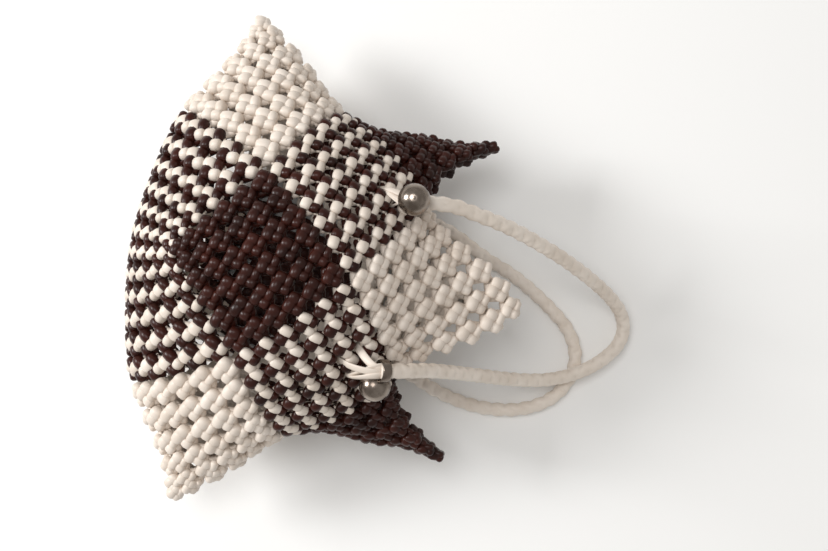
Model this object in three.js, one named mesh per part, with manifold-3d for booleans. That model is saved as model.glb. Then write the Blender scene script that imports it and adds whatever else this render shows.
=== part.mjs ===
// A handbag knotted in one piece from plastic cord, lying on its back, with two braided handles.
// Millimetres, +Z up. X runs from the keel of the bag to its mouth, Y across it. The origin is on
// the surface that the bag lies on, under the middle of the body.
import * as THREE from "three";
import { mergeVertices } from "three/addons/utils/BufferGeometryUtils.js";
import Module from "manifold-3d";

const wasm = await Module();
wasm.setup();

// Driving dimensions of the body
const bagLength = 260; // keel to the front peak, at the middle of the wall
const bagHalfWidth = 165; // middle to one bottom point, at the middle of the wall
const bagDepth = 138; // floor to the highest part of the front wall
const wall = 7; // knotted fabric between its knots
const knotRelief = 2; // how far each knot stands out of the fabric
const knotsPerSquare = 6; // the body is made of squares of this many knots each way
const tipTaper = 0.3; // how fast the inside deepens away from a bottom point

// Driving dimensions of the handles and their fittings
const handleDiameter = 10;
const handleSides = 8;
const handleSteps = 60;
const ringWall = 1.6;
const ringLength = 6;
const ballDiameter = 20;
const ballSides = 16;
const ballSink = 2; // how deep the ball is soldered into its ring
const rootLength = 20; // where the braid opens into strands and goes into the fabric
const rootWidth = 15;
const rootThickness = 6;
const rootNeck = 9; // across the strands where they leave the braid
const rootSides = 12;
const clearance = 0.3;

const handleRadius = handleDiameter / 2;
const ringSides = 16;
const ringInner = (handleRadius + clearance) / Math.cos(Math.PI / ringSides) + clearance / 2;
const ringOuter = ringInner + ringWall;
const ballRadius = ballDiameter / 2;

// Corners of the squares on the wall's middle surface, as shares of bagLength, bagHalfWidth and
// bagDepth. Those with a height of 0 lie on the floor, and those off the middle come in pairs.
const corners = [
  { name: "keelMiddle", along: -0.493, across: 0, height: 0.44 },
  { name: "keelFront", along: -0.35, across: 0, height: 0.87 },
  { name: "keelBack", along: -0.35, across: 0, height: 0 },
  { name: "baseEnd", along: -0.435, across: 0.56, height: 0.43 },
  { name: "bottomPoint", along: -0.29, across: 1, height: 0.4 },
  { name: "frontHip", along: -0.16, across: 0.355, height: 0.87 },
  { name: "backHip", along: -0.19, across: 0.37, height: 0 },
  { name: "frontWaist", along: 0.08, across: 0, height: 1 },
  { name: "backWaist", along: 0.08, across: 0, height: 0 },
  { name: "sideSeat", along: -0.02, across: 0.635, height: 0.53 },
  { name: "frontNotch", along: 0.23, across: 0.33, height: 0.68 },
  { name: "backNotch", along: 0.22, across: 0.31, height: 0.25 },
  { name: "frontPeak", along: 0.507, across: 0, height: 0.7 },
  { name: "backPeak", along: 0.42, across: 0, height: 0 },
  { name: "sidePeak", along: 0.388, across: 0.65, height: 0.41 },
];

// Squares of the body, each by its four corners in turn, seen from outside the +Y half.
const middleSquares = {
  frontDiamond: ["keelFront", "frontHip-", "frontWaist", "frontHip+"],
  backDiamond: ["keelBack", "backHip+", "backWaist", "backHip-"],
  frontPeak: ["frontWaist", "frontNotch-", "frontPeak", "frontNotch+"],
  backPeak: ["backWaist", "backNotch+", "backPeak", "backNotch-"],
};
const sideSquares = {
  baseFront: ["keelMiddle", "keelFront", "frontHip", "baseEnd"],
  baseBack: ["keelMiddle", "baseEnd", "backHip", "keelBack"],
  endFront: ["frontHip", "sideSeat", "bottomPoint", "baseEnd"],
  endBack: ["backHip", "baseEnd", "bottomPoint", "sideSeat"],
  shoulderFront: ["frontHip", "frontWaist", "frontNotch", "sideSeat"],
  shoulderBack: ["backHip", "sideSeat", "backNotch", "backWaist"],
  sidePeak: ["sideSeat", "frontNotch", "sidePeak", "backNotch"],
};

// Places inside a square, or half way along its edge, that keep an edge straight or a fold out:
// u runs from its first corner to its second, v from its first to its fourth.
const creases = [
  { square: "endFront", u: 1, v: 0.5, along: -0.146, across: 0.83, height: 0.465 },
  { square: "sidePeak", u: 0.5, v: 0.5, along: 0.19, across: 0.62, height: 0.475 },
  { square: "frontPeak", u: 1, v: 0.5, along: 0.377, across: -0.175, height: 0.7 },
  { square: "frontPeak", u: 0.5, v: 1, along: 0.377, across: 0.175, height: 0.7 },
];

// Routes of the two handles, from the +Y end to the -Y end. The front one rises with the bag: its
// heights are shares of the way from lying on the back one, at 0, up to bagDepth, at 1.
const frontShares = [
  [50, 54, 0.883], [64, 55.5, 0.883], [78, 56, 0.859], [92, 54, 0.82], [106, 52, 0.765],
  [121, 49, 0.687], [136, 45, 0.601], [153, 40, 0.491], [170, 34, 0.366], [187, 27, 0.225],
  [201, 19.5, 0.111], [211, 10.5, 0.033], [215, 0, 0.002], [213, -11, 0.005], [205, -22, 0.02],
  [194, -31.5, 0.035], [181, -39, 0.047], [166, -44.5, 0.072], [151, -47, 0.135], [135, -48, 0.24],
  [120, -48, 0.37], [105, -48, 0.495], [91, -48, 0.636], [78, -48.5, 0.765], [64, -50.5, 0.875],
  [50, -52.5, 0.933],
];
const backRoute = [
  [50, 53, 14.5], [62, 52, 14.5], [74, 49.5, 13.5], [87, 44.5, 11], [100, 38, 7], [113, 32, 5.4],
  [126, 27, 5.2], [139, 20.5, 5.2], [152, 12.5, 5.2], [164, 4, 5.2], [174, -4.5, 5.2],
  [181, -14, 5.2], [185, -25, 5.2], [185, -36, 5.2], [181, -47, 5.2], [174, -57, 5.2],
  [163, -65, 5.2], [149, -70.5, 5.2], [134, -73, 5.2], [118, -73, 5.4], [102, -70.5, 6.5],
  [87, -66, 9], [74, -60.5, 12.5], [62, -56, 14.5], [50, -53, 14.5],
];

const frontRest = handleDiameter + clearance;
const frontRoute = frontShares.map(([x, y, share]) => [
  x, y, frontRest + share * (bagDepth - frontRest),
]);

// Fittings: the route's end, the turn of the ball about the handle in degrees (0 is up, 90 is
// towards +Y) and the place where the strands go into the fabric, as a slope down (+) or up (-).
const fittings = [
  { name: "front_left", route: frontRoute, end: 0, ballTurn: 0, dip: 9, spread: 3 },
  { name: "front_right", route: frontRoute, end: 1, ballTurn: -140, dip: 15, spread: -2 },
  { name: "back_left", route: backRoute, end: 0, ballTurn: 100, dip: -7, spread: 1 },
  { name: "back_right", route: backRoute, end: 1, ballTurn: -100, dip: -7, spread: -1 },
];

const cordWhite = new THREE.Color("#ddd3c8");
const silver = new THREE.Color("#a39c95");
const handleWhite = new THREE.Color("#d5c8b9");

function finish(colour, roughness, metalness) {
  return new THREE.MeshStandardMaterial({ color: colour, roughness, metalness });
}

function placeOf({ along, across, height }, side = 1) {
  const z = height ? height * bagDepth : wall / 2;
  return new THREE.Vector3(along * bagLength, side * across * bagHalfWidth, z);
}

// The place of each corner, with its name and side, such as frontHip+ or keelFront.
function cornerPoints() {
  const points = new Map();
  for (const corner of corners) {
    if (corner.across) {
      points.set(`${corner.name}+`, placeOf(corner));
      points.set(`${corner.name}-`, placeOf(corner, -1));
    } else {
      points.set(corner.name, placeOf(corner));
    }
  }
  return points;
}

// Every square with its full corner names and its creases. Those of the -Y half are mirrored, so
// their corners and their v run the other way.
function allSquares(points) {
  const creasesOf = (name) => creases.filter((crease) => crease.square === name);
  const squares = Object.entries(middleSquares).map(([name, names]) => ({
    names,
    pins: creasesOf(name).map(({ u, v, ...shares }) => ({ u, v, place: placeOf(shares) })),
  }));
  for (const [name, bare] of Object.entries(sideSquares)) {
    for (const side of [1, -1]) {
      const sign = side > 0 ? "+" : "-";
      const names = bare.map((corner) => (points.has(corner) ? corner : corner + sign));
      const pins = creasesOf(name).map(({ u, v, ...shares }) => ({
        u,
        v: side > 0 ? v : 1 - v,
        place: placeOf(shares, side),
      }));
      squares.push({ names: side > 0 ? names : names.reverse(), pins });
    }
  }
  return squares;
}

// A grid of cells over every square, with shared edges merged: places, cells, the places that stay
// fixed and those of the bottom points.
function bodyGrid() {
  const points = cornerPoints();
  const places = [];
  const cells = [];
  const index = new Map();
  const n = knotsPerSquare;
  const keep = (key, place) => {
    if (!index.has(key)) {
      index.set(key, places.length);
      places.push(place);
    }
    return index.get(key);
  };
  const edgeKey = (a, b, k) => (a < b ? `${a}|${b}|${k}` : `${b}|${a}|${n - k}`);
  const pinned = new Map();
  for (const { names: [a, b, c, d], pins } of allSquares(points)) {
    const [pa, pb, pc, pd] = [a, b, c, d].map((name) => points.get(name));
    const ids = [];
    for (let i = 0; i <= n; i += 1) {
      ids.push([]);
      for (let j = 0; j <= n; j += 1) {
        const low = pa.clone().lerp(pb, i / n);
        const high = pd.clone().lerp(pc, i / n);
        let key = `${a}|${b}|${c}|${d}|${i}|${j}`;
        if (j === 0) key = edgeKey(a, b, i);
        if (j === n) key = edgeKey(d, c, i);
        if (i === 0) key = edgeKey(a, d, j);
        if (i === n) key = edgeKey(b, c, j);
        if (i % n === 0 && j % n === 0) key = i === 0 ? (j === 0 ? a : d) : j === 0 ? b : c;
        ids[i].push(keep(key, low.lerp(high, j / n)));
      }
    }
    for (let i = 0; i < n; i += 1) {
      for (let j = 0; j < n; j += 1) {
        cells.push([ids[i][j], ids[i + 1][j], ids[i + 1][j + 1], ids[i][j + 1]]);
      }
    }
    for (const { u, v, place } of pins) pinned.set(ids[Math.round(u * n)][Math.round(v * n)], place);
  }
  for (const [k, place] of pinned) places[k].copy(place);
  const fixed = new Set([...points.keys()].map((name) => index.get(name)).concat([...pinned.keys()]));
  const tips = ["+", "-"].map((side) => index.get(`bottomPoint${side}`));
  return { places, cells, fixed, tips };
}

// Directed edges that only one cell has: the rim of the mouth.
function rimEdges(cells) {
  const seen = new Set();
  for (const cell of cells) cell.forEach((a, k) => seen.add(`${a},${cell[(k + 1) % 4]}`));
  const pairs = [...seen].map((key) => key.split(",").map(Number));
  return pairs.filter(([a, b]) => !seen.has(`${b},${a}`));
}

// Each place's neighbours: along the rim for a place on it, so that the rim keeps its own curve.
function neighbours(count, cells, rim) {
  const around = Array.from({ length: count }, () => new Set());
  for (const cell of cells) {
    cell.forEach((a, k) => {
      around[a].add(cell[(k + 1) % 4]);
      around[cell[(k + 1) % 4]].add(a);
    });
  }
  for (const [a] of rim) around[a].clear();
  for (const [a, b] of rim) {
    around[a].add(b);
    around[b].add(a);
  }
  return around.map((set) => [...set]);
}

// The grid bent like a thin springy plate through its fixed corners: the sum of the squares of each
// place's distance to the mean of its neighbours is the least, found by conjugate gradients. What
// would then sag through the floor lies on it.
function relax({ places, cells, fixed }) {
  const rim = rimEdges(cells);
  const around = neighbours(places.length, cells, rim);
  const bend = (values) => values.map((v, i) => around[i].reduce((s, k) => s + values[k], 0)
    / around[i].length - v);
  const bendBack = (values) => {
    const out = values.map((v) => -v);
    around.forEach((list, i) => list.forEach((k) => { out[k] += values[i] / list.length; }));
    return out;
  };
  const apply = (values) => bendBack(bend(values)).map((v, i) => (fixed.has(i) ? 0 : v));
  const dot = (a, b) => a.reduce((s, v, i) => s + v * b[i], 0);
  for (const axis of ["x", "y", "z"]) {
    const start = places.map((p) => p[axis]);
    const rest = apply(start).map((v) => -v);
    const move = start.map(() => 0);
    let step = rest;
    let left = rest;
    let size = dot(left, left);
    for (let round = 0; round < 3000 && size > 1e-9; round += 1) {
      const bent = apply(step);
      const share = size / dot(step, bent);
      move.forEach((v, i) => { move[i] = v + share * step[i]; });
      left = left.map((v, i) => v - share * bent[i]);
      const next = dot(left, left);
      step = left.map((v, i) => v + (next / size) * step[i]);
      size = next;
    }
    places.forEach((p, i) => { p[axis] += move[i]; });
  }
  for (const p of places) p.z = Math.max(p.z, wall / 2);
  return rim;
}

const grid = bodyGrid();
const rim = relax(grid);

function cellCentre(cell) {
  const centre = new THREE.Vector3();
  for (const k of cell) centre.add(grid.places[k]);
  return centre.divideScalar(4);
}

// The way out of the bag at each cell, and at each place as the mean of its cells.
function outwards() {
  const ofCells = grid.cells.map(([a, b, c, d]) => {
    const one = grid.places[c].clone().sub(grid.places[a]);
    const two = grid.places[d].clone().sub(grid.places[b]);
    return one.cross(two).normalize();
  });
  const ofPlaces = grid.places.map(() => new THREE.Vector3());
  grid.cells.forEach((cell, i) => cell.forEach((k) => ofPlaces[k].add(ofCells[i])));
  ofPlaces.forEach((v) => v.normalize());
  return { ofCells, ofPlaces };
}

// The body as one closed shell, its outside grown by `grow`. Each cell of the outside is a low
// pyramid, one for each knot. The inside thins out towards the bottom points, where the walls meet,
// and the outside is flat where it lies on the floor.
function shellGeometry(grow) {
  const { ofCells, ofPlaces } = outwards();
  const count = grid.places.length;
  const positions = [];
  const flatten = (p) => p.setZ(Math.max(p.z, -grow));
  grid.places.forEach((p, i) => {
    positions.push(flatten(p.clone().addScaledVector(ofPlaces[i], wall / 2 + grow)));
  });
  grid.places.forEach((p, i) => {
    const reach = Math.min(...grid.tips.map((k) => grid.places[k].distanceTo(p)));
    const depth = Math.min(wall / 2, reach * tipTaper);
    positions.push(p.clone().addScaledVector(ofPlaces[i], -depth));
  });
  const faces = [];
  grid.cells.forEach((cell, i) => {
    const top = positions.length;
    const out = wall / 2 + knotRelief + grow;
    positions.push(flatten(cellCentre(cell).addScaledVector(ofCells[i], out)));
    cell.forEach((a, k) => faces.push(a, cell[(k + 1) % 4], top));
    const [a, b, c, d] = cell.map((k) => k + count);
    faces.push(a, c, b, a, d, c);
  });
  for (const [a, b] of rim) faces.push(b, a, a + count, b, a + count, b + count);
  const geometry = new THREE.BufferGeometry();
  const flat = positions.flatMap((p) => [p.x, p.y, p.z]);
  geometry.setAttribute("position", new THREE.Float32BufferAttribute(flat, 3));
  geometry.setIndex(faces);
  return geometry;
}

function toSolid(geometry) {
  const bare = geometry.clone();
  bare.deleteAttribute("normal");
  bare.deleteAttribute("uv");
  const merged = mergeVertices(bare, 1e-4);
  return new wasm.Manifold(new wasm.Mesh({
    numProp: 3,
    vertProperties: merged.attributes.position.array,
    triVerts: Uint32Array.from(merged.index.array),
  }));
}

function toGeometry(solid) {
  const mesh = solid.getMesh();
  const geometry = new THREE.BufferGeometry();
  geometry.setAttribute("position", new THREE.BufferAttribute(mesh.vertProperties, 3));
  geometry.setIndex(new THREE.BufferAttribute(mesh.triVerts, 1));
  return geometry;
}

function routeCurve(route) {
  return new THREE.CatmullRomCurve3(route.map((p) => new THREE.Vector3(...p)));
}

// The plain tube of a handle along its whole route.
function handleGeometry(route) {
  const section = new THREE.Shape();
  for (let k = 0; k < handleSides; k += 1) {
    const turn = (2 * Math.PI * k) / handleSides;
    const [x, y] = [handleRadius * Math.cos(turn), handleRadius * Math.sin(turn)];
    if (k === 0) section.moveTo(x, y);
    else section.lineTo(x, y);
  }
  return new THREE.ExtrudeGeometry(section, { steps: handleSteps, extrudePath: routeCurve(route) });
}

// Where a handle ends, with the way back along it from its end into the bag.
function handleEnd({ route, end }) {
  const curve = routeCurve(route);
  const place = curve.getPoint(end);
  const inward = curve.getTangent(end).multiplyScalar(end ? 1 : -1);
  return { place, inward };
}

// A silver band round the end of a handle, with its ball soldered to one side.
function ballRing(fitting) {
  const { place, inward } = handleEnd(fitting);
  const profile = [
    [ringInner, -ringLength / 2], [ringOuter, -ringLength / 2],
    [ringOuter, ringLength / 2], [ringInner, ringLength / 2], [ringInner, -ringLength / 2],
  ].map(([r, y]) => new THREE.Vector2(r, y));
  const middle = place.clone().addScaledVector(inward, -ringLength / 2);
  const ring = new THREE.LatheGeometry(profile, ringSides);
  ring.applyQuaternion(new THREE.Quaternion().setFromUnitVectors(new THREE.Vector3(0, 1, 0), inward));
  ring.translate(...middle);
  const turn = THREE.MathUtils.degToRad(fitting.ballTurn);
  const aside = new THREE.Vector3(0, Math.sin(turn), Math.cos(turn));
  aside.addScaledVector(inward, -aside.dot(inward)).normalize();
  const ball = new THREE.SphereGeometry(ballRadius, ballSides, 0.75 * ballSides);
  const centre = middle.clone().addScaledVector(aside, ringOuter + ballRadius - ballSink);
  ball.translate(...centre);
  const hole = new THREE.CylinderGeometry(ringInner, ringInner, 2 * ballDiameter, ringSides);
  hole.applyQuaternion(new THREE.Quaternion().setFromUnitVectors(new THREE.Vector3(0, 1, 0), inward));
  hole.translate(...middle);
  return toGeometry(toSolid(ball).subtract(toSolid(hole)).add(toSolid(ring)));
}

// A closed tapering solid through oval sections: { centre, across, up } with its half axes.
function loftGeometry(sections, sides) {
  const positions = [];
  const faces = [];
  for (const { centre, across, up } of sections) {
    for (let k = 0; k < sides; k += 1) {
      const turn = (2 * Math.PI * k) / sides;
      const p = centre.clone().addScaledVector(across, Math.cos(turn));
      positions.push(...p.addScaledVector(up, Math.sin(turn)));
    }
  }
  for (let row = 0; row + 1 < sections.length; row += 1) {
    for (let k = 0; k < sides; k += 1) {
      const [a, b] = [row * sides + k, row * sides + ((k + 1) % sides)];
      faces.push(a, b, b + sides, a, b + sides, a + sides);
    }
  }
  const last = (sections.length - 1) * sides;
  for (let k = 1; k + 1 < sides; k += 1) {
    faces.push(0, k + 1, k, last, last + k, last + k + 1);
  }
  const geometry = new THREE.BufferGeometry();
  geometry.setAttribute("position", new THREE.Float32BufferAttribute(positions, 3));
  geometry.setIndex(faces);
  return geometry;
}

// The opened strands of a braid, from its end into the fabric, cut to lie on the knots.
function rootGeometry(fitting, keepOut) {
  const { place, inward } = handleEnd(fitting);
  const start = place.clone().addScaledVector(inward, clearance);
  const end = start.clone().addScaledVector(inward, rootLength);
  end.z -= fitting.dip;
  end.y += fitting.spread;
  const along = end.clone().sub(start).normalize();
  const across = new THREE.Vector3(0, 1, 0).addScaledVector(along, -along.y).normalize();
  const up = along.clone().cross(across);
  const section = (centre, width, height) => ({
    centre,
    across: across.clone().multiplyScalar(width / 2),
    up: up.clone().multiplyScalar(height / 2),
  });
  const square = section(start, rootNeck, rootNeck);
  square.across.addScaledVector(inward, -square.across.dot(inward));
  square.up.addScaledVector(inward, -square.up.dot(inward));
  const rows = [square, section(end, rootWidth, rootThickness)];
  const pieces = toSolid(loftGeometry(rows, rootSides)).subtract(keepOut).decompose();
  pieces.sort((one, two) => two.boundingBox().max[0] - one.boundingBox().max[0]);
  return toGeometry(pieces[0]);
}

function addMesh(group, name, geometry, material) {
  const mesh = new THREE.Mesh(geometry, material);
  mesh.name = name;
  group.add(mesh);
}

const group = new THREE.Group();
addMesh(group, "woven_body", shellGeometry(0), finish(cordWhite, 0.45, 0));
addMesh(group, "front_handle", handleGeometry(frontRoute), finish(handleWhite, 0.5, 0));
addMesh(group, "back_handle", handleGeometry(backRoute), finish(handleWhite, 0.5, 0));
const keepOut = toSolid(shellGeometry(clearance));
for (const fitting of fittings) {
  addMesh(group, `ball_ring_${fitting.name}`, ballRing(fitting), finish(silver, 0.3, 1));
  const root = rootGeometry(fitting, keepOut);
  addMesh(group, `handle_root_${fitting.name}`, root, finish(handleWhite, 0.5, 0));
}

export default group;
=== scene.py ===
"""Dress the knotted handbag: its cord knots, braided handles, strands, ball rings and studio.

Lengths are in metres, +Z is up and the frame is the CAD one: X runs from the keel to the mouth, Y
across the bag, and the bag lies on its back on Z = 0.
"""

from __future__ import annotations

import logging
import math
from dataclasses import dataclass
from enum import Enum

import bpy
import numpy as np
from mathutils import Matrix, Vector

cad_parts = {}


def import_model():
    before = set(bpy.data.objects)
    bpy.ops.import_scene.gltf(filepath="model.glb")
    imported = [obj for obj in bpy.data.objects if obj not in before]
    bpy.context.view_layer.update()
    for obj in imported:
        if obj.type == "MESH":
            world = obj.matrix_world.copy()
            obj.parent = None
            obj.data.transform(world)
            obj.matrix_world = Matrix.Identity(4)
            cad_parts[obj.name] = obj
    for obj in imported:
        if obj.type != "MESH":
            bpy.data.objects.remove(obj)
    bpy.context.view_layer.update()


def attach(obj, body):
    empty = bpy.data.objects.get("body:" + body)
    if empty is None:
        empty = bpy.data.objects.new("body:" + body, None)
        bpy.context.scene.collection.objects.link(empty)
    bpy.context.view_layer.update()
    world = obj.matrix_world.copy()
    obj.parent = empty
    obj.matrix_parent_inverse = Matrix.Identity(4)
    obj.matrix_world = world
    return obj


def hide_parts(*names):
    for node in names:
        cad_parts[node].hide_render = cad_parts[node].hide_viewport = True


Array = np.ndarray
MM = 0.001
LOG = logging.getLogger("handbag")


class Shade(Enum):
    """The two cords that the body is knotted from."""

    WHITE = "white"
    BROWN = "brown"


@dataclass
class Solid:
    """Faces of one or more closed surfaces, with their points."""

    points: Array
    quads: Array
    triangles: Array


def join(solids: list[Solid]) -> Solid:
    """Put solids into one, with their point numbers moved up in turn.

    Args:
        solids: the solids to put together.

    Returns:
        One solid with all their points and faces.
    """
    starts = np.cumsum([0] + [len(s.points) for s in solids[:-1]])
    return Solid(
        np.concatenate([s.points for s in solids]),
        np.concatenate([s.quads + start for s, start in zip(solids, starts)]),
        np.concatenate([s.triangles + start for s, start in zip(solids, starts)]),
    )


def unit(vectors: Array) -> Array:
    """Vectors of length one along the last axis.

    Args:
        vectors: any array whose last axis holds x, y and z.

    Returns:
        The same directions, each divided by its length.
    """
    return vectors / np.maximum(np.linalg.norm(vectors, axis=-1, keepdims=True), 1e-12)


def closed_rows(rows: Array, start: Array, end: Array) -> Solid:
    """A closed surface through rings of points, with a point at either end.

    Faces turn outwards where each ring runs the right-hand way round the direction of the rows.

    Args:
        rows: points as rings by points round a ring by 3.
        start: the point that closes the first ring.
        end: the point that closes the last ring.

    Returns:
        The closed solid.
    """
    rings, around = rows.shape[:2]
    ids = np.arange(rings * around).reshape(rings, around)
    after = np.roll(ids, -1, axis=1)
    quads = np.stack([ids[:-1], after[:-1], after[1:], ids[1:]], axis=-1).reshape(-1, 4)
    first, last = rings * around, rings * around + 1
    caps = np.concatenate([
        np.stack([np.full(around, first), after[0], ids[0]], axis=-1),
        np.stack([np.full(around, last), ids[-1], after[-1]], axis=-1),
    ])
    points = np.concatenate([rows.reshape(-1, 3), [start], [end]])
    return Solid(points, quads, caps)


def pillow(around: int, rings: int, ends: float, girth: float, arch: float) -> Solid:
    """A cushion-shaped lobe of unit half sizes, a bent bit of cord whose ends point along Y.

    With b the way from end to end and a the way round, x = cos(b)^k cos(a)^g and
    z = cos(b)^k sin(a)^g, y = sin(b)^k, each power keeping its sign, and z falls by arch times y
    squared. Powers below one make it boxier than a ball.

    Args:
        around: points round the cord.
        rings: rings from end to end.
        ends: the power k, which squares its outline.
        girth: the power g, which squares its cross-section.
        arch: how far the ends bend down, as a share of the half height.

    Returns:
        The lobe as a closed solid.
    """
    turn = -2 * np.pi * np.arange(around) / around
    reach = np.linspace(-np.pi / 2, np.pi / 2, rings + 2)[1:-1, None]
    power = lambda v, k: np.sign(v) * np.abs(v) ** k  # noqa: E731
    x = power(np.cos(reach), ends) * power(np.cos(turn), girth)
    z = power(np.cos(reach), ends) * power(np.sin(turn), girth)
    y = power(np.sin(reach), ends) * np.ones_like(turn)
    rows = np.stack([x, y, z - arch * y**2], axis=-1)
    return closed_rows(rows, np.array([0, -1, -arch]), np.array([0, 1, -arch]))


def stamp(shape: Solid, centres: Array, axes: Array) -> Solid:
    """Copies of one shape, each carried by its own centre and three half axes.

    A point (x, y, z) of the shape goes to centre + x first + y second + z third axis.

    Args:
        shape: the shape of unit half sizes.
        centres: copies by 3.
        axes: copies by 3 axes by 3.

    Returns:
        All the copies as one solid.
    """
    count, size = len(centres), len(shape.points)
    points = centres[:, None, :] + np.einsum("kj,nji->nki", shape.points, axes)
    starts = (np.arange(count) * size)[:, None, None]
    return Solid(
        points.reshape(-1, 3),
        (shape.quads[None] + starts).reshape(-1, 4),
        (shape.triangles[None] + starts).reshape(-1, 3),
    )


def swept(centres: Array, sides: Array, ups: Array, section: Array) -> Solid:
    """A closed tube: a section carried along a path.

    Args:
        centres: the path, points by 3.
        sides: the section's first axis at each point.
        ups: the section's second axis, with side x up along the path.
        section: points by points round by 2, the section at each point of the path.

    Returns:
        The tube, closed by a point at each end.
    """
    rows = (
        centres[:, None, :]
        + section[..., 0:1] * sides[:, None, :]
        + section[..., 1:2] * ups[:, None, :]
    )
    return closed_rows(rows, centres[0], centres[-1])


def add_piece(
    name: str, solid: Solid, finish: bpy.types.Material
) -> bpy.types.Object:
    """Put a solid into the scene as a smooth piece that rides on the bag.

    Args:
        name: the piece's name.
        solid: its surface.
        finish: its material.

    Returns:
        The new object, at the origin.
    """
    mesh = bpy.data.meshes.new(name)
    faces = solid.quads.tolist() + solid.triangles.tolist()
    mesh.from_pydata(solid.points.tolist(), [], faces)
    mesh.materials.append(finish)
    mesh.polygons.foreach_set("use_smooth", np.ones(len(mesh.polygons), dtype=bool))
    mesh.update()
    piece = bpy.data.objects.new(name, mesh)
    bpy.context.scene.collection.objects.link(piece)
    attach(piece, "root")
    LOG.info("%s: %d points, %d faces", name, len(solid.points), len(faces))
    return piece


# Finishes


def linear(code: str) -> tuple[float, float, float, float]:
    """The linear colour of an sRGB hex code.

    Args:
        code: six hex digits after a hash.

    Returns:
        Red, green, blue and an alpha of one.
    """
    shares = [int(code[k : k + 2], 16) / 255 for k in (1, 3, 5)]
    straight = [s / 12.92 if s <= 0.04045 else ((s + 0.055) / 1.055) ** 2.4 for s in shares]
    return (*straight, 1.0)


def add_node(tree: bpy.types.NodeTree, kind: str, settings: dict, links: dict) -> bpy.types.Node:
    """Add one node with its settings and incoming links.

    Args:
        tree: the material's tree.
        kind: the node's type name.
        settings: values by attribute or by input socket name.
        links: output sockets by the name of the input they feed.

    Returns:
        The new node.
    """
    node = tree.nodes.new(kind)
    for key, value in settings.items():
        if key in node.inputs:
            node.inputs[key].default_value = value
        else:
            setattr(node, key, value)
    for key, source in links.items():
        tree.links.new(source, node.inputs[key])
    return node


def drifting_colour(
    tree: bpy.types.NodeTree, place: bpy.types.NodeSocket, size_mm: float, detail: float,
    tones: tuple[str, str], spread: float
) -> bpy.types.NodeSocket:
    """A colour that goes slowly from one tone to another over the surface.

    Args:
        tree: the material's tree.
        place: the Object coordinates.
        size_mm: how far apart the changes are.
        detail: the noise's detail.
        tones: the darker and the lighter tone, as hex codes.
        spread: how far either tone lies from the middle of the noise.

    Returns:
        The colour.
    """
    noise = add_node(tree, "ShaderNodeTexNoise",
                     {"Scale": 1 / (size_mm * MM), "Detail": detail}, {"Vector": place})
    ramp = add_node(tree, "ShaderNodeValToRGB", {}, {"Fac": noise.outputs["Fac"]})
    for element, tone, side in zip(ramp.color_ramp.elements, tones, (-1, 1)):
        element.position = 0.5 + side * spread
        element.color = linear(tone)
    return ramp.outputs["Color"]


def fine_bump(
    tree: bpy.types.NodeTree, place: bpy.types.NodeSocket, size_mm: float, detail: float,
    strength: float, depth_mm: float
) -> bpy.types.NodeSocket:
    """A normal that is roughened by small, shallow noise.

    Args:
        tree: the material's tree.
        place: the Object coordinates.
        size_mm: how far apart the bumps are.
        detail: the noise's detail.
        strength: how much of the bump shows.
        depth_mm: how deep it is.

    Returns:
        The normal.
    """
    noise = add_node(tree, "ShaderNodeTexNoise",
                     {"Scale": 1 / (size_mm * MM), "Detail": detail}, {"Vector": place})
    bump = add_node(tree, "ShaderNodeBump", {"Strength": strength, "Distance": depth_mm * MM},
                    {"Height": noise.outputs["Fac"]})
    return bump.outputs["Normal"]


@dataclass(frozen=True)
class CordFinish:
    """Soft PVC cord, extruded solid and knotted by hand: glossy, with a soft, slightly uneven skin.

    The colour drifts a little from knot to knot, and shallow ripples a few millimetres long break
    up the gloss where the cord was pulled tight.
    """

    name: str
    light: str
    dark: str
    roughness: float
    drift_mm: float = 16.0  # a little more than a knot
    drift_spread: float = 0.18
    ripple_mm: float = 2.5
    ripple_strength: float = 0.12
    ripple_depth_mm: float = 0.5
    ior: float = 1.53  # of soft PVC
    gloss: float = 0.35  # the specular level, under the usual 0.5 as the skin is soft

    def build(self) -> bpy.types.Material:
        """Make the material: colour from slow noise, gloss from the shader, ripples as bump."""
        material = bpy.data.materials.new(self.name)
        material.use_nodes = True
        tree = material.node_tree
        shader = tree.nodes["Principled BSDF"]
        place = add_node(tree, "ShaderNodeTexCoord", {}, {}).outputs["Object"]
        colour = drifting_colour(tree, place, self.drift_mm, 2.0, (self.dark, self.light),
                                 self.drift_spread)
        normal = fine_bump(tree, place, self.ripple_mm, 3.0, self.ripple_strength,
                           self.ripple_depth_mm)
        tree.links.new(colour, shader.inputs["Base Color"])
        tree.links.new(normal, shader.inputs["Normal"])
        shader.inputs["Roughness"].default_value = self.roughness
        shader.inputs["IOR"].default_value = self.ior
        shader.inputs["Specular IOR Level"].default_value = self.gloss
        return material


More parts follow.
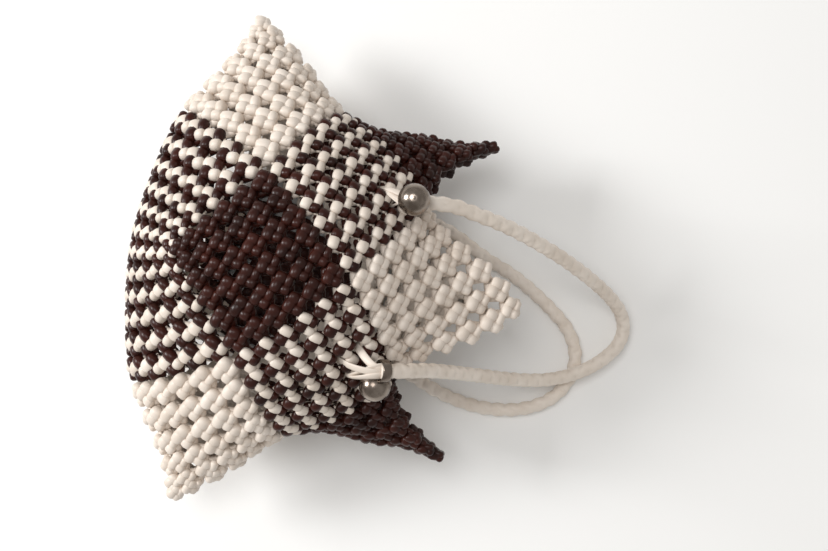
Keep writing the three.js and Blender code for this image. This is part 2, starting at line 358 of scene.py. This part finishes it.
@dataclass(frozen=True)
class SilverFinish:
    """Nickel-plated steel, pressed and tumbled: a warm grey mirror softened by fine scratches."""

    name: str = "nickel_plated_steel"
    light: str = "#9A8F85"
    dark: str = "#6F645B"
    roughness: float = 0.24
    tone_mm: float = 8.0
    tone_spread: float = 0.15
    scratch_mm: float = 0.9  # drawn coarser than the real scratches, so that it shows
    scratch_strength: float = 0.05
    scratch_depth_mm: float = 0.2

    def build(self) -> bpy.types.Material:
        """Make the material: grey from slow noise, with a fine bump."""
        material = bpy.data.materials.new(self.name)
        material.use_nodes = True
        tree = material.node_tree
        shader = tree.nodes["Principled BSDF"]
        place = add_node(tree, "ShaderNodeTexCoord", {}, {}).outputs["Object"]
        colour = drifting_colour(tree, place, self.tone_mm, 3.0, (self.dark, self.light),
                                 self.tone_spread)
        normal = fine_bump(tree, place, self.scratch_mm, 4.0, self.scratch_strength,
                           self.scratch_depth_mm)
        tree.links.new(colour, shader.inputs["Base Color"])
        tree.links.new(normal, shader.inputs["Normal"])
        shader.inputs["Metallic"].default_value = 1.0
        shader.inputs["Roughness"].default_value = self.roughness
        return material


# The body's form


@dataclass(frozen=True)
class Square:
    """One square of the weave by its corners in turn, seen from outside.

    `along` is the cord that runs from the first corner to the second, `across` the one from the
    first to the fourth. Creases are places inside it, as (u, v, (along, across, height)).
    """

    corners: tuple[str, str, str, str]
    along: Shade
    across: Shade
    creases: tuple = ()

    def mirrored(self) -> Square:
        """The same square on the other side, with its corners the other way round."""
        flip = tuple(name.replace("+", "-") for name in reversed(self.corners))
        creases = tuple((u, 1 - v, (x, -y, z)) for u, v, (x, y, z) in self.creases)
        return Square(flip, self.along, self.across, creases)


W, B = Shade.WHITE, Shade.BROWN

# Corners as shares of the length, half width and depth. A height of 0 lies on the floor, and a name
# with + has a twin with - on the other side.
CORNERS = {
    "keelMiddle": (-0.493, 0, 0.44),
    "keelFront": (-0.35, 0, 0.87),
    "keelBack": (-0.35, 0, 0),
    "baseEnd+": (-0.435, 0.56, 0.43),
    "bottomPoint+": (-0.29, 1, 0.4),
    "frontHip+": (-0.16, 0.355, 0.87),
    "backHip+": (-0.19, 0.37, 0),
    "frontWaist": (0.08, 0, 1),
    "backWaist": (0.08, 0, 0),
    "sideSeat+": (-0.02, 0.635, 0.53),
    "frontNotch+": (0.23, 0.33, 0.68),
    "backNotch+": (0.22, 0.31, 0.25),
    "frontPeak": (0.507, 0, 0.7),
    "backPeak": (0.42, 0, 0),
    "sidePeak+": (0.388, 0.65, 0.41),
}

MIDDLE_SQUARES = (
    Square(("keelFront", "frontHip-", "frontWaist", "frontHip+"), B, B),
    Square(("keelBack", "backHip+", "backWaist", "backHip-"), B, B),
    Square(("frontWaist", "frontNotch-", "frontPeak", "frontNotch+"), W, W,
           ((1, 0.5, (0.377, -0.175, 0.7)), (0.5, 1, (0.377, 0.175, 0.7)))),
    Square(("backWaist", "backNotch+", "backPeak", "backNotch-"), W, W),
)
SIDE_SQUARES = (
    Square(("keelMiddle", "keelFront", "frontHip+", "baseEnd+"), B, W),
    Square(("keelMiddle", "baseEnd+", "backHip+", "keelBack"), W, B),
    Square(("frontHip+", "sideSeat+", "bottomPoint+", "baseEnd+"), W, W,
           ((1, 0.5, (-0.146, 0.83, 0.465)),)),
    Square(("backHip+", "baseEnd+", "bottomPoint+", "sideSeat+"), W, W),
    Square(("frontHip+", "frontWaist", "frontNotch+", "sideSeat+"), W, B),
    Square(("backHip+", "sideSeat+", "backNotch+", "backWaist"), B, W),
    Square(("sideSeat+", "frontNotch+", "sidePeak+", "backNotch+"), B, B,
           ((0.5, 0.5, (0.19, 0.62, 0.475)),)),
)


@dataclass
class BagForm:
    """The middle surface of the body, bent through its corners like a thin springy plate."""

    length: float = 0.260  # keel to front peak
    half_width: float = 0.165  # middle to either bottom point
    depth: float = 0.138
    wall: float = 0.007
    knots: int = 6  # along each side of a square

    def place(self, shares: tuple[float, float, float]) -> Array:
        """A place from its shares of length, half width and depth, never below the floor's wall."""
        along, across, height = shares
        up = height * self.depth if height else self.wall / 2
        return np.array([along * self.length, across * self.half_width, up])

    def build(self) -> None:
        """Work out the places, cells and knot frames.

        A square's first places are the two-way blend of its corners: p = (1-u)(1-v)a + u(1-v)b +
        uvc + (1-u)vd. Places on shared edges are then merged, and all but the corners and creases
        move until the sum of the squares of (mean of neighbours - place) is least. A place on the
        rim has only rim neighbours, so that the rim keeps its own curve.
        """
        squares = MIDDLE_SQUARES + SIDE_SQUARES + tuple(s.mirrored() for s in SIDE_SQUARES)
        places = {name: self.place(shares) for name, shares in CORNERS.items()}
        for name, (x, y, z) in CORNERS.items():
            places[name.replace("+", "-")] = self.place((x, -y if "+" in name else y, z))
        corners = np.array([[places[name] for name in s.corners] for s in squares])
        u = np.linspace(0, 1, self.knots + 1)[:, None, None]
        v = np.linspace(0, 1, self.knots + 1)[None, :, None]
        a, b, c, d = (corners[:, None, None, k] for k in range(4))
        spread = (1 - u) * (1 - v) * a + u * (1 - v) * b + u * v * c + (1 - u) * v * d
        flat = spread.reshape(-1, 3)
        _, first, ids = np.unique(np.round(flat * 1e7).astype(np.int64), axis=0,
                                  return_index=True, return_inverse=True)
        grid = ids.reshape(spread.shape[:3])
        self.places = flat[first]
        fixed = set(grid[:, [0, 0, -1, -1], [0, -1, 0, -1]].ravel().tolist())
        for k, square in enumerate(squares):
            for cu, cv, shares in square.creases:
                pin = int(grid[k, round(cu * self.knots), round(cv * self.knots)])
                self.places[pin] = self.place(shares)
                fixed.add(pin)
        self.cells = np.stack(
            [grid[:, :-1, :-1], grid[:, 1:, :-1], grid[:, 1:, 1:], grid[:, :-1, 1:]], axis=-1
        ).reshape(-1, 4)
        self._relax(np.array(sorted(fixed)))
        per_square = self.knots**2
        self.along_white = np.repeat([s.along is W for s in squares], per_square)
        self.across_white = np.repeat([s.across is W for s in squares], per_square)
        tips = self.places[[grid[k, self.knots, self.knots] for k, s in enumerate(squares)
                            if s.corners[2].startswith("bottomPoint")]]
        a, b, c, d = (self.places[self.cells[:, k]] for k in range(4))
        self.centres = (a + b + c + d) / 4
        self.along = (b - a + c - d) / 2
        self.across = (d - a + c - b) / 2
        self.outward = unit(np.cross(c - a, d - b))
        self.reach = np.linalg.norm(self.centres[:, None] - tips[None], axis=-1).min(axis=1)

    def _relax(self, fixed: Array) -> None:
        """Bend the places through the fixed ones.

        Args:
            fixed: numbers of the places that stay.
        """
        count = len(self.places)
        sides = np.concatenate([self.cells[:, [k, (k + 1) % 4]] for k in range(4)])
        edges, uses = np.unique(np.sort(sides, axis=1), axis=0, return_counts=True)
        rim = edges[uses == 1]
        near = np.zeros((count, count))
        near[edges[:, 0], edges[:, 1]] = near[edges[:, 1], edges[:, 0]] = 1
        near[np.unique(rim)] = 0
        near[rim[:, 0], rim[:, 1]] = near[rim[:, 1], rim[:, 0]] = 1
        bend = near / near.sum(axis=1, keepdims=True) - np.eye(count)
        energy = bend.T @ bend
        free = np.setdiff1d(np.arange(count), fixed)
        pull = energy[np.ix_(free, fixed)] @ self.places[fixed]
        self.places[free] = np.linalg.solve(energy[np.ix_(free, free)], -pull)
        self.places[:, 2] = np.maximum(self.places[:, 2], self.wall / 2)

    def nearest_hole(self, target: Array) -> tuple[Array, Array]:
        """The hole between knots nearest a target, with the way out of the bag there."""
        k = int(np.argmin(np.linalg.norm(self.places - target, axis=1)))
        cells = np.any(self.cells == k, axis=1)
        return self.places[k], unit(self.outward[cells].mean(axis=0))


@dataclass
class Weave:
    """The knots on the form: four lobes outside, four lower ones inside, and strands between.

    A knot is a square pad of four short bars that lie round it like a pinwheel, one along each
    side, each with its far end over the start of the next. Bars on the keel's side are a little
    fuller, as in the real knot.
    """

    form: BagForm
    turn: float = math.radians(-22)  # of the lobes' places from the strands
    skew: float = math.radians(37)  # of the way that a lobe faces from the way out to its place
    lobe_out: float = 0.262  # a lobe's centre from the knot's, in knots
    lobe_wide: tuple[float, float] = (0.262, 0.236)  # half its width, of either cord's lobes
    lobe_long: tuple[float, float] = (0.272, 0.325)  # half its length, along the pad's side
    lobe_high: float = 0.0036  # half its height
    lobe_lift: float = 0.0019  # of its centre over the middle surface
    lobe_tilt: float = 0.0006  # of its far end over its near one
    inner_depth: float = 0.65  # of the inner lobes, as a share of the outer ones
    inner_size: float = 1.1
    lean_up: float = 0.0008  # more lift for lobes on the keel's side
    fuller: float = 0.15  # and more width, as a share
    turn_jitter: float = math.radians(2.5)  # hand-pulled knots are never quite alike
    size_jitter: float = 0.025
    strand_apart: float = 0.12  # a strand's middle from the knot's, in knots
    strand_wide: float = 0.0019
    strand_high: float = 0.0013
    strand_long: float = 0.55  # half its length, in knots, so that neighbours' strands meet
    along_low: float = 0.0004  # how far the strands lie under the middle surface
    across_low: float = 0.0012
    pitch: float = 0.014
    least_pitch: float = 0.0128  # knots are pulled no smaller or wider than these
    most_pitch: float = 0.0165
    thin_end: float = 0.03  # nearer a bottom point than this there are no inner lobes
    floor: float = 0.0003

    def _lobes(self, which: Array, quarter: int, shape: Solid, inside: bool) -> Solid:
        """One lobe of each chosen knot.

        The lobe's place is out along r = cos(t) p + sin(t) q. It faces along the same with t less
        the skew, and its length lies square to that. For its shape, p and q are the square pair
        nearest to the cell's own directions, because a knot stays square where the fabric leans.
        For its place they are half way between that pair and the cell's. On the inner side the
        knot turns the other way as seen from outside, so both angles change sign.

        Args:
            which: the chosen cells.
            quarter: which of the four lobes, counted round from the `along` strands.
            shape: the lobe's shape.
            inside: True for the lower lobes on the bag's inner side.

        Returns:
            The lobes.
        """
        form, count = self.form, len(which)
        rng = np.random.default_rng(17 + quarter + 10 * inside)
        lean = -1 if inside else 1
        turn = lean * self.turn + quarter * math.pi / 2
        turn = turn + rng.normal(0, self.turn_jitter, (count, 1))
        size = (self.inner_size if inside else 1) * (1 + rng.normal(0, self.size_jitter, (count, 1)))
        along, across, out = form.along[which], form.across[which], form.outward[which]
        left, _, right = np.linalg.svd(np.stack([along, across], axis=1), full_matrices=False)
        square = left @ right
        pitch = np.sqrt(np.linalg.norm(np.cross(along, across), axis=1, keepdims=True))
        pitch = np.clip(pitch, self.least_pitch, self.most_pitch)
        face = turn - lean * self.skew
        away = pitch * (np.cos(face) * square[:, 0] + np.sin(face) * square[:, 1])
        round_ = pitch * (-np.sin(face) * square[:, 0] + np.cos(face) * square[:, 1])
        along, across = (pitch * square[:, 0] + along) / 2, (pitch * square[:, 1] + across) / 2
        off = np.cos(turn) * along + np.sin(turn) * across
        keelward = -unit(off)[:, :1]
        full = 1 + self.fuller * keelward
        scale = pitch / self.pitch
        high = self.lobe_high * scale * size
        lift = self.lobe_lift * scale + self.lean_up * keelward
        sign, depth = (-1, self.inner_depth) if inside else (1, 1.0)
        centres = form.centres[which] + self.lobe_out * off + sign * depth * lift * out
        axes = np.stack([
            self.lobe_wide[quarter % 2] * size * full * away,
            sign * (self.lobe_long[quarter % 2] * size * round_ + self.lobe_tilt * out),
            sign * depth * high * out,
        ], axis=1)
        return stamp(shape, centres, axes)

    def _strands(self, which: Array, crosswise: bool, shape: Solid) -> Solid:
        """The two strands side by side that join each chosen knot to its neighbours.

        Args:
            which: the chosen cells.
            crosswise: True for the `across` strands.
            shape: the strand's shape.

        Returns:
            The strands.
        """
        form = self.form
        along, across, out = form.along[which], form.across[which], form.outward[which]
        run, aside = (across, along) if crosswise else (along, -across)
        low = self.across_low if crosswise else self.along_low
        axes = np.stack([
            self.strand_wide * unit(aside), self.strand_long * run, self.strand_high * out,
        ], axis=1)
        middle = form.centres[which] - low * out
        both = [middle + side * self.strand_apart * aside for side in (-1, 1)]
        return join([stamp(shape, centres, axes) for centres in both])

    def cord(self, which: Array, parts: tuple[bool, bool]) -> Solid:
        """All of one cord in the chosen knots.

        A pair of lobes is made by the strands that run across the direction it lies in, so the
        pair near the `along` strands is of the `across` cord.

        Args:
            which: the chosen cells.
            parts: whether to make what the `along` cord and the `across` cord give.

        Returns:
            Lobes and strands as one solid, flat where they lie on the floor.
        """
        lobe, inner = pillow(12, 5, 0.62, 0.88, 0.1), pillow(10, 4, 0.6, 0.8, 0.1)
        link = pillow(6, 2, 0.35, 0.8, 0.0)
        solids = []
        deep = which[self.form.reach[which] > self.thin_end]
        for crosswise, wanted in zip((False, True), parts):
            if not wanted:
                continue
            for quarter in ((0, 2) if crosswise else (1, 3)):
                solids.append(self._lobes(which, quarter, lobe, False))
                solids.append(self._lobes(deep, quarter, inner, True))
            solids.append(self._strands(which, crosswise, link))
        solid = join(solids)
        solid.points[:, 2] = np.maximum(solid.points[:, 2], self.floor)
        return solid

    def build(self, white: bpy.types.Material, brown: bpy.types.Material) -> None:
        """Add the white, brown and mixed knots.

        Args:
            white: the white cord's finish.
            brown: the brown cord's finish.
        """
        along, across = self.form.along_white, self.form.across_white
        all_white, all_brown = np.flatnonzero(along & across), np.flatnonzero(~along & ~across)
        white_along, white_across = np.flatnonzero(along & ~across), np.flatnonzero(~along & across)
        both, first, second = (True, True), (True, False), (False, True)
        pieces = [
            ("white_knots", [self.cord(all_white, both)], white),
            ("brown_knots", [self.cord(all_brown, both)], brown),
            ("mixed_white_knots",
             [self.cord(white_along, first), self.cord(white_across, second)], white),
            ("mixed_brown_knots",
             [self.cord(white_along, second), self.cord(white_across, first)], brown),
        ]
        for name, solids, finish in pieces:
            piece = add_piece(name, join(solids), finish)
            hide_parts("woven_body")


# The handles and their fittings

# The front handle rises with the bag: its heights are shares of the way from lying on the back one,
# at 0, up to the bag's depth, at 1. The back one's heights are in millimetres.
FRONT_SHARES = (
    (50, 54, 0.883), (64, 55.5, 0.883), (78, 56, 0.859), (92, 54, 0.82), (106, 52, 0.765),
    (121, 49, 0.687), (136, 45, 0.601), (153, 40, 0.491), (170, 34, 0.366), (187, 27, 0.225),
    (201, 19.5, 0.111), (211, 10.5, 0.033), (215, 0, 0.002), (213, -11, 0.005), (205, -22, 0.02),
    (194, -31.5, 0.035), (181, -39, 0.047), (166, -44.5, 0.072), (151, -47, 0.135), (135, -48, 0.24),
    (120, -48, 0.37), (105, -48, 0.495), (91, -48, 0.636), (78, -48.5, 0.765), (64, -50.5, 0.875),
    (50, -52.5, 0.933),
)
FRONT_REST, BAG_DEPTH = 10.3, 138
FRONT_ROUTE = tuple((x, y, FRONT_REST + z * (BAG_DEPTH - FRONT_REST)) for x, y, z in FRONT_SHARES)
BACK_ROUTE = (
    (50, 53, 14.5), (62, 52, 14.5), (74, 49.5, 13.5), (87, 44.5, 11), (100, 38, 7), (113, 32, 5.4),
    (126, 27, 5.2), (139, 20.5, 5.2), (152, 12.5, 5.2), (164, 4, 5.2), (174, -4.5, 5.2),
    (181, -14, 5.2), (185, -25, 5.2), (185, -36, 5.2), (181, -47, 5.2), (174, -57, 5.2),
    (163, -65, 5.2), (149, -70.5, 5.2), (134, -73, 5.2), (118, -73, 5.4), (102, -70.5, 6.5),
    (87, -66, 9), (74, -60.5, 12.5), (62, -56, 14.5), (50, -53, 14.5),
)


@dataclass
class Handle:
    """A round braid of four strands, two each way, along one smooth route."""

    name: str
    route: tuple
    length: float
    diameter: float = 0.010
    lay: float = 0.020  # along the braid for one turn of a strand
    strand_height: float = 0.0016  # from a strand's top to the valley beside it
    strand_reach: float = 1.35  # half a strand's width round the braid, in radians
    dip: float = 0.28  # how much lower a strand is where it goes under, as a share
    step: float = 0.0009
    around: int = 28

    def path(self, per_span: int = 16) -> Array:
        """The smooth curve through the route.

        Between two points it is the cubic whose slopes come from the square roots of the gaps to
        the points before and after, as in a centripetal spline.

        Args:
            per_span: points in each span.

        Returns:
            Points along the curve.
        """
        points = np.array(self.route) * MM
        before, after = 2 * points[0] - points[1], 2 * points[-1] - points[-2]
        points = np.concatenate([[before], points, [after]])
        p0, p1, p2, p3 = points[:-3], points[1:-2], points[2:-1], points[3:]
        g0, g1, g2 = (np.linalg.norm(b - a, axis=1, keepdims=True) ** 0.5
                      for a, b in ((p0, p1), (p1, p2), (p2, p3)))
        out = g1 * ((p1 - p0) / g0 - (p2 - p0) / (g0 + g1) + (p2 - p1) / g1)
        into = g1 * ((p2 - p1) / g1 - (p3 - p1) / (g1 + g2) + (p3 - p2) / g2)
        t = (np.arange(per_span) / per_span)[None, :, None]
        p1, p2, out, into = (v[:, None, :] for v in (p1, p2, out, into))
        cubic = (
            (2 * t**3 - 3 * t**2 + 1) * p1 + (t**3 - 2 * t**2 + t) * out
            + (3 * t**2 - 2 * t**3) * p2 + (t**3 - t**2) * into
        )
        return np.concatenate([cubic.reshape(-1, 3), [points[-2]]])

    def end(self, last: bool) -> tuple[Array, Array]:
        """One end of the route, with the way on from it into the bag."""
        path = self.path()
        place, before = (path[-1], path[-2]) if last else (path[0], path[1])
        return place, unit(place - before)

    def build(self, finish: bpy.types.Material) -> bpy.types.Object:
        """Add the braid.

        The radius at s along and angle f round is R - h (1 - max(A, C)). A is the strand that
        turns with the right hand, sqrt(1 - (d / w)^2) with d the angle to its middle, times
        1 - dip sin(2 pi s / lay)^2, so that it goes over and under. C is the same for the left
        hand, with the cosine.

        Args:
            finish: the braid's material.

        Returns:
            The handle.
        """
        path = self.path()
        run = np.concatenate([[0], np.cumsum(np.linalg.norm(np.diff(path, axis=0), axis=1))])
        count = int(run[-1] / self.step)
        s = np.linspace(0, run[-1], count)
        centres = np.stack([np.interp(s, run, path[:, k]) for k in range(3)], axis=-1)
        ways = unit(np.gradient(centres, axis=0))
        plane = np.linalg.svd(centres - centres.mean(axis=0), full_matrices=False)[2][2]
        sides = unit(np.cross(plane, ways))
        ups = np.cross(ways, sides)
        s, f = s[:, None], (2 * np.pi * np.arange(self.around) / self.around)[None, :]
        wrap = lambda angle: (angle + np.pi / 2) % np.pi - np.pi / 2  # noqa: E731
        spin = 2 * np.pi * s / self.lay
        hump = lambda angle: np.sqrt(  # noqa: E731
            np.maximum(0, 1 - (wrap(angle) / self.strand_reach) ** 2))
        over = np.maximum(hump(f - spin) * (1 - self.dip + self.dip * np.cos(spin) ** 2),
                          hump(f + spin) * (1 - self.dip + self.dip * np.sin(spin) ** 2))
        radius = self.diameter / 2 - self.strand_height * (1 - over)
        section = np.stack([radius * np.cos(f), radius * np.sin(f)], axis=-1)
        solid = swept(centres, sides, ups, section)
        piece = add_piece(self.name + "_braid", solid, finish)
        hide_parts(self.name)
        return piece

    def declare(self, piece: bpy.types.Object, with_pieces: list) -> None:
        """Does nothing with the braid or the pieces given with it."""


@dataclass
class Fitting:
    """The silver ring and ball on one handle end, and the strands that go into the weave."""

    name: str
    handle: Handle
    last: bool  # whether it is at the end of the handle's route
    ball_turn: float  # degrees from straight up, towards +Y
    fan: tuple  # where each strand goes from the handle's end, in millimetres
    ring_inner: float = 0.0056
    ring_wall: float = 0.0016
    ring_length: float = 0.006
    ring_lip: float = 0.0012  # past the braid's end
    ball_radius: float = 0.010
    ball_sink: float = 0.002  # how deep it is soldered into the ring
    strand_wide: float = 0.0050
    strand_thick: float = 0.0019
    strand_inside: float = 0.002  # how far inside the braid's end a strand starts
    strand_step: float = 0.002  # from one strand's start to the next

    def _ring(self, middle: Array, way: Array, aside: Array) -> Solid:
        """The band: a rounded bar carried round the handle.

        Round the handle by a and round the bar by c, the radius is R + t cos(c)^0.5 and the place
        along is l sin(c)^0.5, each power keeping its sign.
        """
        turns, around = 40, 16
        a = (2 * np.pi * np.arange(turns) / turns)[:, None]
        c = (2 * np.pi * np.arange(around) / around)[None, :]
        power = lambda v: np.sign(v) * np.abs(v) ** 0.5  # noqa: E731
        radius = self.ring_inner + self.ring_wall / 2 * (1 + power(np.cos(c)))
        along = self.ring_length / 2 * power(np.sin(c)) + 0 * a
        third = np.cross(way, aside)
        points = (
            middle
            + (radius * np.cos(a))[..., None] * aside
            + (radius * np.sin(a))[..., None] * third
            + along[..., None] * way
        )
        ids = np.arange(turns * around).reshape(turns, around)
        on, up = np.roll(ids, -1, axis=0), np.roll(ids, -1, axis=1)
        both = np.roll(on, -1, axis=1)
        quads = np.stack([ids, on, both, up], axis=-1).reshape(-1, 4)
        return Solid(points.reshape(-1, 3), quads, np.zeros((0, 3), dtype=int))

    def _ball(self, centre: Array, way: Array, aside: Array) -> Solid:
        """The ball: a sphere with the small dimple and rivet of its far side.

        At an angle q from the far side the radius is R (1 - 0.035 exp(-(q / 0.16)^2)
        + 0.03 exp(-(q / 0.07)^2)).
        """
        rings, around = 30, 36
        q = np.concatenate([[0.05, 0.1, 0.16, 0.24], np.linspace(0.34, np.pi - 0.1, rings)])[:, None]
        a = (2 * np.pi * np.arange(around) / around)[None, :]
        radius = lambda v: self.ball_radius * (  # noqa: E731
            1 - 0.035 * np.exp(-((v / 0.16) ** 2)) + 0.03 * np.exp(-((v / 0.07) ** 2)))
        third = np.cross(aside, way)
        size = radius(q)
        rows = (
            centre
            + (size * np.cos(q) + 0 * a)[..., None] * aside
            + (size * np.sin(q) * np.cos(a))[..., None] * way
            - (size * np.sin(q) * np.sin(a))[..., None] * third
        )
        return closed_rows(rows, centre + radius(0.0) * aside, centre - self.ball_radius * aside)

    def _strand(self, start: Array, way: Array, goal: Array, out: Array) -> Solid:
        """One flat strand from inside the ring down into a hole of the weave.

        It is the cubic from start, on along `way`, and down against `out` into the goal, with a
        flat oval section.
        """
        t = np.linspace(0, 1, 18)[:, None]
        span = np.linalg.norm(goal - start)
        far = goal - 3.5 * MM * out
        near, high = start + 0.4 * span * way, goal + 4 * MM * out - 0.15 * (goal - start)
        centres = ((1 - t) ** 3 * start + 3 * (1 - t) ** 2 * t * near
                   + 3 * (1 - t) * t**2 * high + t**3 * far)
        ways = unit(np.gradient(centres, axis=0))
        sides = unit(np.cross(out, ways))
        ups = np.cross(ways, sides)
        a = (2 * np.pi * np.arange(12) / 12)[None, :]
        wide = self.strand_wide / 2 * (1 + 0 * t)
        section = np.stack([wide * np.cos(a), self.strand_thick / 2 * np.sin(a) + 0 * t], axis=-1)
        return swept(centres, sides, ups, section)

    def build(self, form: BagForm, silver: bpy.types.Material, cord: bpy.types.Material) -> list:
        """Add the ring with its ball, and the strands.

        Args:
            form: the body, for the holes that the strands go into.
            silver: the ring's finish.
            cord: the strands' finish.

        Returns:
            The two pieces.
        """
        place, way = self.handle.end(self.last)
        middle = place - way * (self.ring_length / 2 - self.ring_lip)
        turn = math.radians(self.ball_turn)
        aside = np.array([0, math.sin(turn), math.cos(turn)])
        aside = unit(aside - aside @ way * way)
        reach = self.ring_inner + self.ring_wall + self.ball_radius - self.ball_sink
        metal = join([self._ring(middle, way, aside), self._ball(middle + reach * aside, way, aside)])
        ring = add_piece("silver_" + self.name, metal, silver)
        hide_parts("ball_ring_" + self.name)
        strands = []
        for k, (back, side, drop) in enumerate(self.fan):
            goal, out = form.nearest_hole(place + np.array([back, side, drop]) * MM)
            shift = np.array([0, (k - (len(self.fan) - 1) / 2) * self.strand_step, 0])
            start = place - self.strand_inside * way + shift
            strands.append(self._strand(start, way, goal, out))
        piece = add_piece("strands_" + self.name, join(strands), cord)
        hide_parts("handle_root_" + self.name)
        return [ring, piece]


# The studio


@dataclass
class Studio:
    """A plain pale floor, soft light from the left and a camera straight overhead."""

    centre: tuple[float, float] = (0.0591, 0.0124)  # what the camera looks at on the floor
    height: float = 0.800
    turn: float = 10.2  # degrees about the upright
    tilt: float = 1.6  # degrees back from straight down
    lens: float = 47.4  # millimetres
    floor_half: float = 3.0
    floor_colour: str = "#FAFAF9"
    floor_roughness: float = 0.9
    room_colour: str = "#FFFCF8"
    room_strength: float = 0.44
    aim: tuple[float, float, float] = (0.02, 0, 0.06)  # where the lights point

    def camera(self) -> None:
        """Add the camera, turned about the upright as the photo is and tilted back a little."""
        data = bpy.data.cameras.new("overhead")
        data.sensor_width = 36
        data.sensor_fit = "HORIZONTAL"
        data.lens = self.lens
        camera = bpy.data.objects.new("overhead", data)
        turn, tilt = math.radians(self.turn), math.radians(self.tilt)
        back = self.height * math.tan(tilt)
        x, y = self.centre
        camera.location = (x + back * math.sin(turn), y - back * math.cos(turn), self.height)
        camera.rotation_euler = (tilt, 0, turn)
        bpy.context.scene.collection.objects.link(camera)
        bpy.context.scene.camera = camera

    def light(self, name: str, place: tuple, size: float, power: float) -> None:
        """Add one soft square light aimed at the bag.

        Args:
            name: its name.
            place: where it hangs.
            size: its side.
            power: its power in watts.
        """
        data = bpy.data.lights.new(name, "AREA")
        data.size = size
        data.energy = power
        lamp = bpy.data.objects.new(name, data)
        lamp.location = place
        aim = Vector(self.aim) - Vector(place)
        lamp.rotation_euler = aim.to_track_quat("-Z", "Y").to_euler()
        bpy.context.scene.collection.objects.link(lamp)

    def build(self) -> None:
        """Add the floor, the lights and the light of the room."""
        mesh = bpy.data.meshes.new("floor")
        side = self.floor_half
        corners = [(-side, -side, 0), (side, -side, 0), (side, side, 0), (-side, side, 0)]
        mesh.from_pydata(corners, [], [(0, 1, 2, 3)])
        paper = bpy.data.materials.new("matt_white_paper")
        paper.use_nodes = True
        shader = paper.node_tree.nodes["Principled BSDF"]
        shader.inputs["Base Color"].default_value = linear(self.floor_colour)
        shader.inputs["Roughness"].default_value = self.floor_roughness
        mesh.materials.append(paper)
        floor = bpy.data.objects.new("floor", mesh)
        bpy.context.scene.collection.objects.link(floor)
        self.light("window", (-1.9, 0.1, 1.2), 0.7, 38)
        self.light("lamp", (-0.5, 0.32, 2.2), 0.9, 15)
        world = bpy.data.worlds.new("room")
        world.use_nodes = True
        background = world.node_tree.nodes["Background"]
        background.inputs["Color"].default_value = linear(self.room_colour)
        background.inputs["Strength"].default_value = self.room_strength
        bpy.context.scene.world = world
        bpy.context.scene.view_settings.view_transform = "Standard"


def main() -> None:
    """Build the whole scene on the CAD frame."""
    logging.basicConfig(level=logging.INFO, format="%(name)s: %(message)s")
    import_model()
    studio = Studio()
    studio.camera()
    white = CordFinish("white_pvc_cord", "#E2D7CC", "#D5C8BB", 0.42).build()
    brown = CordFinish("brown_pvc_cord", "#3C1A13", "#250F0A", 0.32, gloss=0.22).build()
    braid = CordFinish("braided_pvc_cord", "#EEE4D9", "#E2D6C9", 0.45).build()
    silver = SilverFinish().build()
    front = Handle("front_handle", FRONT_ROUTE, 0.452)
    back = Handle("back_handle", BACK_ROUTE, 0.330)
    braids = {handle.name: handle.build(braid) for handle in (front, back)}
    form = BagForm()
    form.build()
    fan_left = ((-17, 10, -6), (-20, 3, -6), (-17, -4, -6), (-11, 13, -6))
    fan_right = ((-17, -8, -6), (-20, -2, -6), (-14, 6, -6), (-13, -12, -6))
    back_left = tuple((x, y, 6) for x, y, _ in fan_left)
    back_right = tuple((x, y, 6) for x, y, _ in fan_right)
    fittings = (
        Fitting("front_left", front, False, 0, fan_left),
        Fitting("front_right", front, True, -140, fan_right),
        Fitting("back_left", back, False, 100, back_left),
        Fitting("back_right", back, True, -100, back_right),
    )
    on_handle = {handle.name: [] for handle in (front, back)}
    for fitting in fittings:
        on_handle[fitting.handle.name] += fitting.build(form, silver, white)
    for handle in (front, back):
        handle.declare(braids[handle.name], on_handle[handle.name])
    Weave(form).build(white, brown)
    studio.build()


if __name__ == "__main__":
    main()
